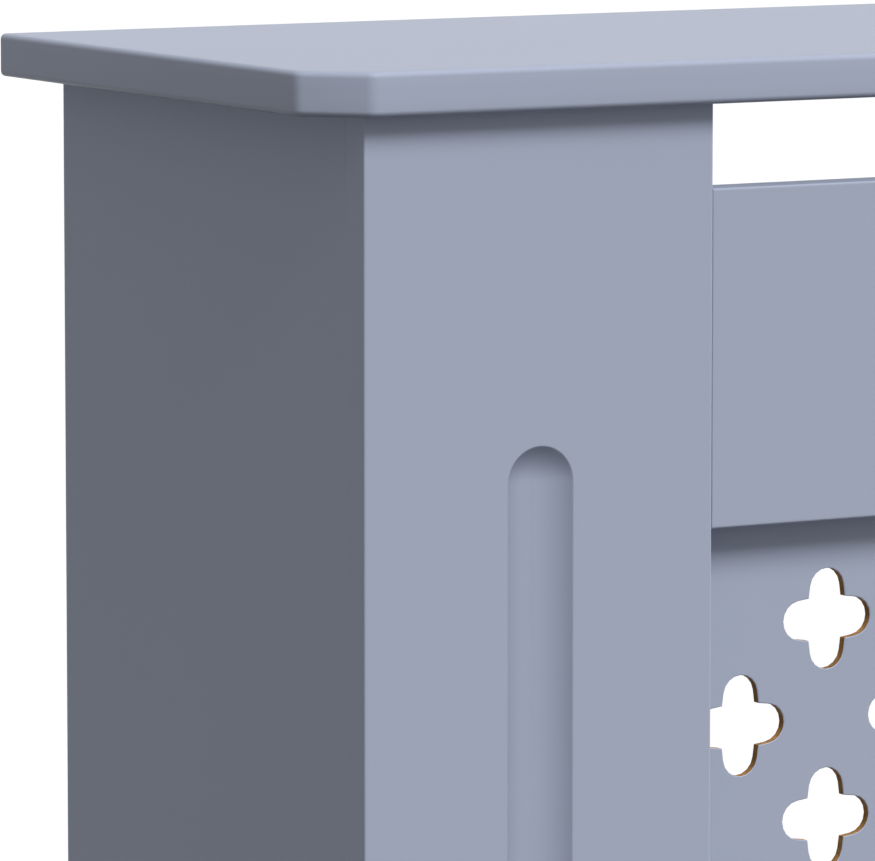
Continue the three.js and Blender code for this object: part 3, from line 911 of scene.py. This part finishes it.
def blockTower(s):
    # Half of a joint block, with Z up its screw hole: rings climb its four sides, go over the top and the
    # raised seat, down the hole and back under the foot. One side's top edge is cut off.
    size, ease, drop, steps = s["size"], s["easedEdge"], s["faceDrop"], s["cornerSteps"]
    cut, faceTop, middle = s["cornerCut"] - drop, size - drop, s["easedEdge"] * s["easeMiddle"]
    near, far = s["waist"], s["length"] / 2

    def sideRing(inset, cutInset, height):
        low, high = inset, size - inset - cutInset
        corners = [(low, near + inset), (high, near + inset), (high, far - inset), (low, far - inset)]
        return atHeight(roundedOutline(corners, [s["cornerRadius"] - inset] * 4, steps), height)

    count = 4 * (steps + 1)
    angle = (np.arange(count) + 0.5) / count * 2 * np.pi - np.pi
    circle = circleAt(angle)
    centre = np.array([size / 2, s["screwSpacing"] / 2])

    def roundRing(radius, height):
        return atHeight(centre + radius * circle, height)

    seat, hole, small = s["seatRadius"], s["holeRadius"], s["holeEase"]
    rings = [
        sideRing(ease, 0, 0),
        sideRing(middle, 0, middle),
        sideRing(0, 0, ease),
        sideRing(0, 0, size - s["cornerCut"]),
        sideRing(0, cut - ease, faceTop - ease),
        sideRing(middle, cut, faceTop - middle),
        sideRing(ease, cut, faceTop),
        roundRing(seat + small, faceTop),
        roundRing(seat, faceTop + small),
        roundRing(seat, size - small),
        roundRing(seat - small, size),
        roundRing(hole + small, size),
        roundRing(hole, size - small),
        roundRing(hole, small),
        roundRing(hole + small, 0),
    ]
    return loopedShell(np.array(rings))


def blockWeb(s):
    # The neck that joins the two towers, clear of both boards.
    low, high, reach = s["faceDrop"], s["webSize"], 2 * s["waist"]
    corners = [(low, low), (high, low), (high, high), (low, high)]
    outline = roundedOutline(corners, [s["cornerRadius"]] * 4, s["cornerSteps"])
    return closedShell(np.array([atHeight(outline, height) for height in (-reach, reach)]))


def makeJointBlock(node, awayFromFirst, awayFromSecond, s):
    first, second = np.array(awayFromFirst, float), np.array(awayFromSecond, float)
    along = np.cross(first, second)
    low, high = boxOf(node)
    corner = (low + high) / 2 - (first + second) * s["size"] / 2
    towerPoints, towerFaces = blockTower(s)
    webPoints, webFaces = blockWeb(s)
    shells = [
        (towerPoints @ np.array([second, along, first]), towerFaces),
        (towerPoints @ np.array([first, -along, second]), towerFaces),
        (webPoints @ np.array([first, second, along]), webFaces),
    ]
    points, faces = joinedShells(shells)
    addPiece(titled(node), node, points + corner, faces, [whitePlastic])

    size, apart = s["size"], s["screwSpacing"] / 2
    firstSeat = corner + first * size + second * size / 2 + along * apart
    makeScrew(node + "_screw_1", firstSeat, -first, along, size, screwSet)
    secondSeat = corner + second * size + first * size / 2 - along * apart
    makeScrew(node + "_screw_2", secondSeat, -second, along, size, screwSet)


screwSet = {
    "headRadius": 3.5 * mm,
    "headHeight": 2 * mm,
    "domeHeight": 1.1 * mm,
    "domeRings": (0.66, 0.78, 0.9, 0.97),  # shares of the head's radius
    "brim": 0.15 * mm,  # from the edge of the dome down to the head's straight side
    "foot": 0.2 * mm,  # the height of the head's slanted foot
    "footShare": 0.96,  # how wide the foot is on the board
    "threadRadius": 1.6 * mm,
    "coreRadius": 1.15 * mm,
    "pitch": 1.4 * mm,
    "stepsPerTurn": 5,
    "crest": 1.25,  # past one it is flat on top
    "flankSlope": 4,  # how many times over the thread's height is lost in one pitch
    "plainTurns": 0.4,  # before the thread grows out of the core
    "bite": 7 * mm,
    "tipLength": 3 * mm,
    "tipCurve": 0.7,
    "tipShare": 0.02,  # what is left of the tip at its end
    "recess": {"crossLength": 3.8 * mm, "rootWidth": 1.15 * mm, "endRadius": 0.42 * mm, "lobeSteps": 4},
    "recessDepth": 1.4 * mm,
    "recessTaper": 0.5,
    "sharpDegrees": 40,
}
screwTurns = np.random.default_rng(11)


def makeScrew(node, seat, direction, across, grip, s):
    # Rings follow the screw from the floor of its cross recess up to the head's dome, round the head and
    # down the shank. The thread is a wave of the radius that turns once round in each pitch.
    recess = crossShape(s["recess"])
    count = len(recess)
    angle = (np.arange(count) / count - 1 / 8) * 2 * np.pi
    circle = circleAt(angle)
    top, head, dome = -s["headHeight"], s["headRadius"], s["domeHeight"]

    def domeAt(radius):
        # A parabola from the middle of the head down to its side.
        return top + dome * (radius / head) ** 2

    rings = [
        atHeight(recess * s["recessTaper"], top + s["recessDepth"]),
        atHeight(recess, domeAt(np.linalg.norm(recess, axis=1))),
    ]
    rings += [atHeight(circle * head * share, domeAt(head * share)) for share in s["domeRings"]]
    side = [(1, top + dome + s["brim"]), (1, -s["foot"]), (s["footShare"], 0)]
    rings += [atHeight(circle * head * share, height) for share, height in side]

    length = grip + s["bite"]
    rows = int(round(length / s["pitch"] * s["stepsPerTurn"]))
    depth = np.linspace(0, length, rows + 1)[:, None]
    phase = (depth / s["pitch"] - angle / (2 * np.pi)) % 1
    ridge = np.clip(s["crest"] - np.abs(phase - 0.5) * s["flankSlope"], 0, 1)
    fadeIn = np.clip(depth / s["pitch"] - s["plainTurns"], 0, 1)
    core, thread = s["coreRadius"], s["threadRadius"]
    taper = np.clip((length - depth) / s["tipLength"], s["tipShare"], 1) ** s["tipCurve"]
    radius = (core + (thread - core) * ridge * fadeIn) * taper
    shank = np.stack([radius * circle[:, 0], radius * circle[:, 1], np.repeat(depth, count, 1)], -1)

    turn = screwTurns.uniform(0, np.pi / 2)
    first = np.array(across, float)
    second = np.cross(direction, first)
    basis = np.array([
        first * math.cos(turn) + second * math.sin(turn),
        second * math.cos(turn) - first * math.sin(turn),
        direction,
    ])
    points, faces = closedShell(np.concatenate([np.array(rings), shank]))
    points, sharp = points @ basis + seat, s["sharpDegrees"]
    addPiece(titled(node), node, points, faces, [brightZinc], sharpDegrees=sharp)


# The wall brackets: bent strips, each with two holes in the panel's leg and one in the wall's.
bracketSet = {
    "leg": 30 * mm,
    "height": 16 * mm,
    "thickness": 2 * mm,
    "bendRadius": 3 * mm,
    "endRadius": 3 * mm,
    "endSteps": 3,
    "bendSteps": 8,
    "panelHoles": (5.75 * mm, 17.25 * mm),  # from the end of the panel's leg
    "panelHoleRadius": 1.9 * mm,
    "wallHole": 18 * mm,  # from the panel
    "wallHoleRadius": 2.5 * mm,
    "cellHalf": 0.8 * mm,  # what a hole's cell has on each side of the hole
    "easedEdge": 0.25 * mm,
    "easeSteps": 2,
    "easeDegrees": 50,  # an edge that turns by less stays as it is
}


def stripLevels(s):
    # Heights across the strip that follow the rounding of its end corners, and how far each draws in.
    angle = np.linspace(0, np.pi / 2, s["endSteps"] + 1)
    height = s["endRadius"] * (1 - np.cos(angle))
    inset = s["endRadius"] * (1 - np.sin(angle))
    heights = np.concatenate([height, [s["height"] / 2], s["height"] - height[::-1]])
    return heights, np.concatenate([inset, [0], inset[::-1]])


def flatStrip(s):
    # The strip before it is bent, as points (along, across) and quads. It is cut across into columns, and
    # the column round a hole goes from its own border to a ring of as many points round the hole.
    straight, bend = s["leg"] - s["bendRadius"], np.pi / 2 * s["bendRadius"]
    wallHole = straight + bend + s["wallHole"] - s["bendRadius"]
    holes = [(place, s["panelHoleRadius"]) for place in s["panelHoles"]] + [(wallHole, s["wallHoleRadius"])]
    edges = [0.0]
    cells = {}
    for place, radius in holes:
        half = radius + s["cellHalf"]
        if place > straight:
            edges += list(straight + bend * np.linspace(0, 1, s["bendSteps"] + 1))
        cells[len(edges)] = (place, radius)
        edges += [place - half, place + half]
    edges.append(2 * straight + bend)

    heights, insets = stripLevels(s)
    count = len(heights)
    drawIns = [insets] + [0 * insets] * (len(edges) - 2) + [-insets]
    flat = [np.column_stack([edge + drawIn, heights]) for edge, drawIn in zip(edges, drawIns)]
    faces = []
    for index in range(len(edges) - 1):
        left = index * count + np.arange(count)
        right = left + count
        if index not in cells:
            faces.append(np.stack([left[:-1], right[:-1], right[1:], left[1:]], 1))
            continue
        place, radius = cells[index]
        between = np.linspace(edges[index], edges[index + 1], count)[1:-1]
        lower = sum(map(len, flat)) + np.arange(len(between))
        upper = lower + len(between)
        ring = np.concatenate([[left[0]], lower, right, upper[::-1], left[:0:-1]])
        inner = upper[-1] + 1 + np.arange(len(ring))
        angle = (np.arange(len(ring)) / len(ring) - 3 / 8) * 2 * np.pi
        flat.append(np.column_stack([between, np.zeros(len(between))]))
        flat.append(np.column_stack([between, np.full(len(between), s["height"])]))
        flat.append(np.array([place, s["height"] / 2]) + radius * circleAt(angle))
        faces.append(np.stack([ring, np.roll(ring, -1), np.roll(inner, -1), inner], 1))
    return np.concatenate(flat), np.concatenate(faces)


def thickPlate(flat, faces, thickness):
    # The plate's other face is the same turned over, and every border edge gets a wall between the two.
    count = len(flat)
    points = np.concatenate([atHeight(flat, thickness), atHeight(flat, 0)])
    edges = np.stack([faces, np.roll(faces, -1, 1)], -1).reshape(-1, 2).tolist()
    known = {tuple(edge) for edge in edges}
    start, end = np.array([edge for edge in edges if (edge[1], edge[0]) not in known]).T
    walls = np.stack([end, start, start + count, end + count], 1)
    return points, np.concatenate([faces, faces[:, ::-1] + count, walls])


def bentStrip(flat, s):
    # Lays flat points (along, across, off the outer face) on the bent strip: the panel's leg runs along +Y
    # to the bend, a quarter turn about its centre, and the wall's leg runs along +X.
    along, across, off = flat.T
    radius, straight = s["bendRadius"], s["leg"] - s["bendRadius"]
    bend = np.pi / 2 * radius
    turn = np.clip((along - straight) / radius, 0, np.pi / 2)
    before = np.minimum(along - straight, 0)
    after = np.maximum(along - straight - bend, 0)
    x = radius - (radius - off) * np.cos(turn) + after
    y = -radius + (radius - off) * np.sin(turn) + before
    return np.stack([x, y, across], 1)


def makeWallBracket(hand, side, s):
    node = "wall_bracket_" + hand
    low, high = boxOf(node)
    thickness = s["thickness"]
    points, faces = thickPlate(*flatStrip(s), thickness)
    points = bentStrip(points, s)
    if side > 0:
        points[:, 0] *= -1
        faces = faces[:, ::-1]
    origin = np.array([low[0] if side < 0 else high[0], high[1], low[2]])
    piece = addPiece(titled(node), node, points + origin, faces.tolist(), [brightZinc])
    eased = piece.modifiers.new("easedEdges", "BEVEL")
    eased.width = s["easedEdge"]
    eased.segments = s["easeSteps"]
    eased.limit_method = "ANGLE"
    eased.angle_limit = math.radians(s["easeDegrees"])

    inward = np.array([-side, 0, 0])
    for index, place in enumerate(s["panelHoles"]):
        seat = origin + inward * thickness + np.array([0, place - s["leg"], s["height"] / 2])
        makeScrew(f"{node}_screw_{index + 1}", seat, -inward, (0, 0, 1), thickness, screwSet)


dowelSet = {
    "flutes": 14,
    "fluteDepth": 0.22 * mm,
    "fluteSharpness": 4,
    "pointsPerFlute": 5,
    "chamfer": 1 * mm,
    # At each end: how far along and how far in, both in chamfers, and how deep the flutes are.
    "endLevels": ((0, 1, 0), (0.9, 0.1, 0.5), (1.3, 0, 1)),
}


def makeDowel(node, s):
    # A turned rod with glue flutes: its radius dips along a row of narrow grooves.
    low, high = boxOf(node)
    radius, length, chamfer = (high[1] - low[1]) / 2, high[0] - low[0], s["chamfer"]
    count = s["flutes"] * s["pointsPerFlute"]
    angle = np.arange(count) / count * 2 * np.pi
    groove = (0.5 + 0.5 * np.cos(s["flutes"] * angle)) ** s["fluteSharpness"] * s["fluteDepth"]
    levels = [(along * chamfer, inset, cut) for along, inset, cut in s["endLevels"]]
    levels += [(length - along, inset, cut) for along, inset, cut in levels[::-1]]
    rings = []
    for along, inset, cut in levels:
        reach = radius - inset * chamfer - cut * groove
        rings.append(np.column_stack([np.full(count, along), circleAt(angle) * reach[:, None]]))
    points, faces = closedShell(np.array(rings))
    origin = np.array([low[0], (low[1] + high[1]) / 2, (low[2] + high[2]) / 2])
    addPiece(titled(node), node, points + origin, faces, [rawBeech])


def makeFittings():
    for hand, side in (("left", -1), ("right", 1)):
        inward = (-side, 0, 0)
        for level in ("low", "middle", "high"):
            makeJointBlock(f"corner_block_{hand}_{level}", inward, (0, 1, 0), blockSet)
        for place in ("front", "back"):
            makeJointBlock(f"top_block_{hand}_{place}", inward, (0, 0, -1), blockSet)
        makeJointBlock(f"top_block_{hand}_stile", (0, 1, 0), (0, 0, -1), blockSet)
        makeWallBracket(hand, side, bracketSet)
        for rail in ("upper", "lower"):
            for index in (1, 2):
                makeDowel(f"dowel_{rail}_{hand}_{index}", dowelSet)


makeTopBoard(topSet)
makeStile("leftStile", "stile_left", stileSet)
makeStile("rightStile", "stile_right", stileSet)
makeRail("upperRail", "rail_upper", railSet)
makeRail("lowerRail", "rail_lower", railSet)
makeSidePanel("leftSidePanel", "side_panel_left", sideSet)
makeSidePanel("rightSidePanel", "side_panel_right", sideSet)
print("boards made")
makeGrille(grilleSet)
print("grille made")
makeFittings()
print("fittings made")
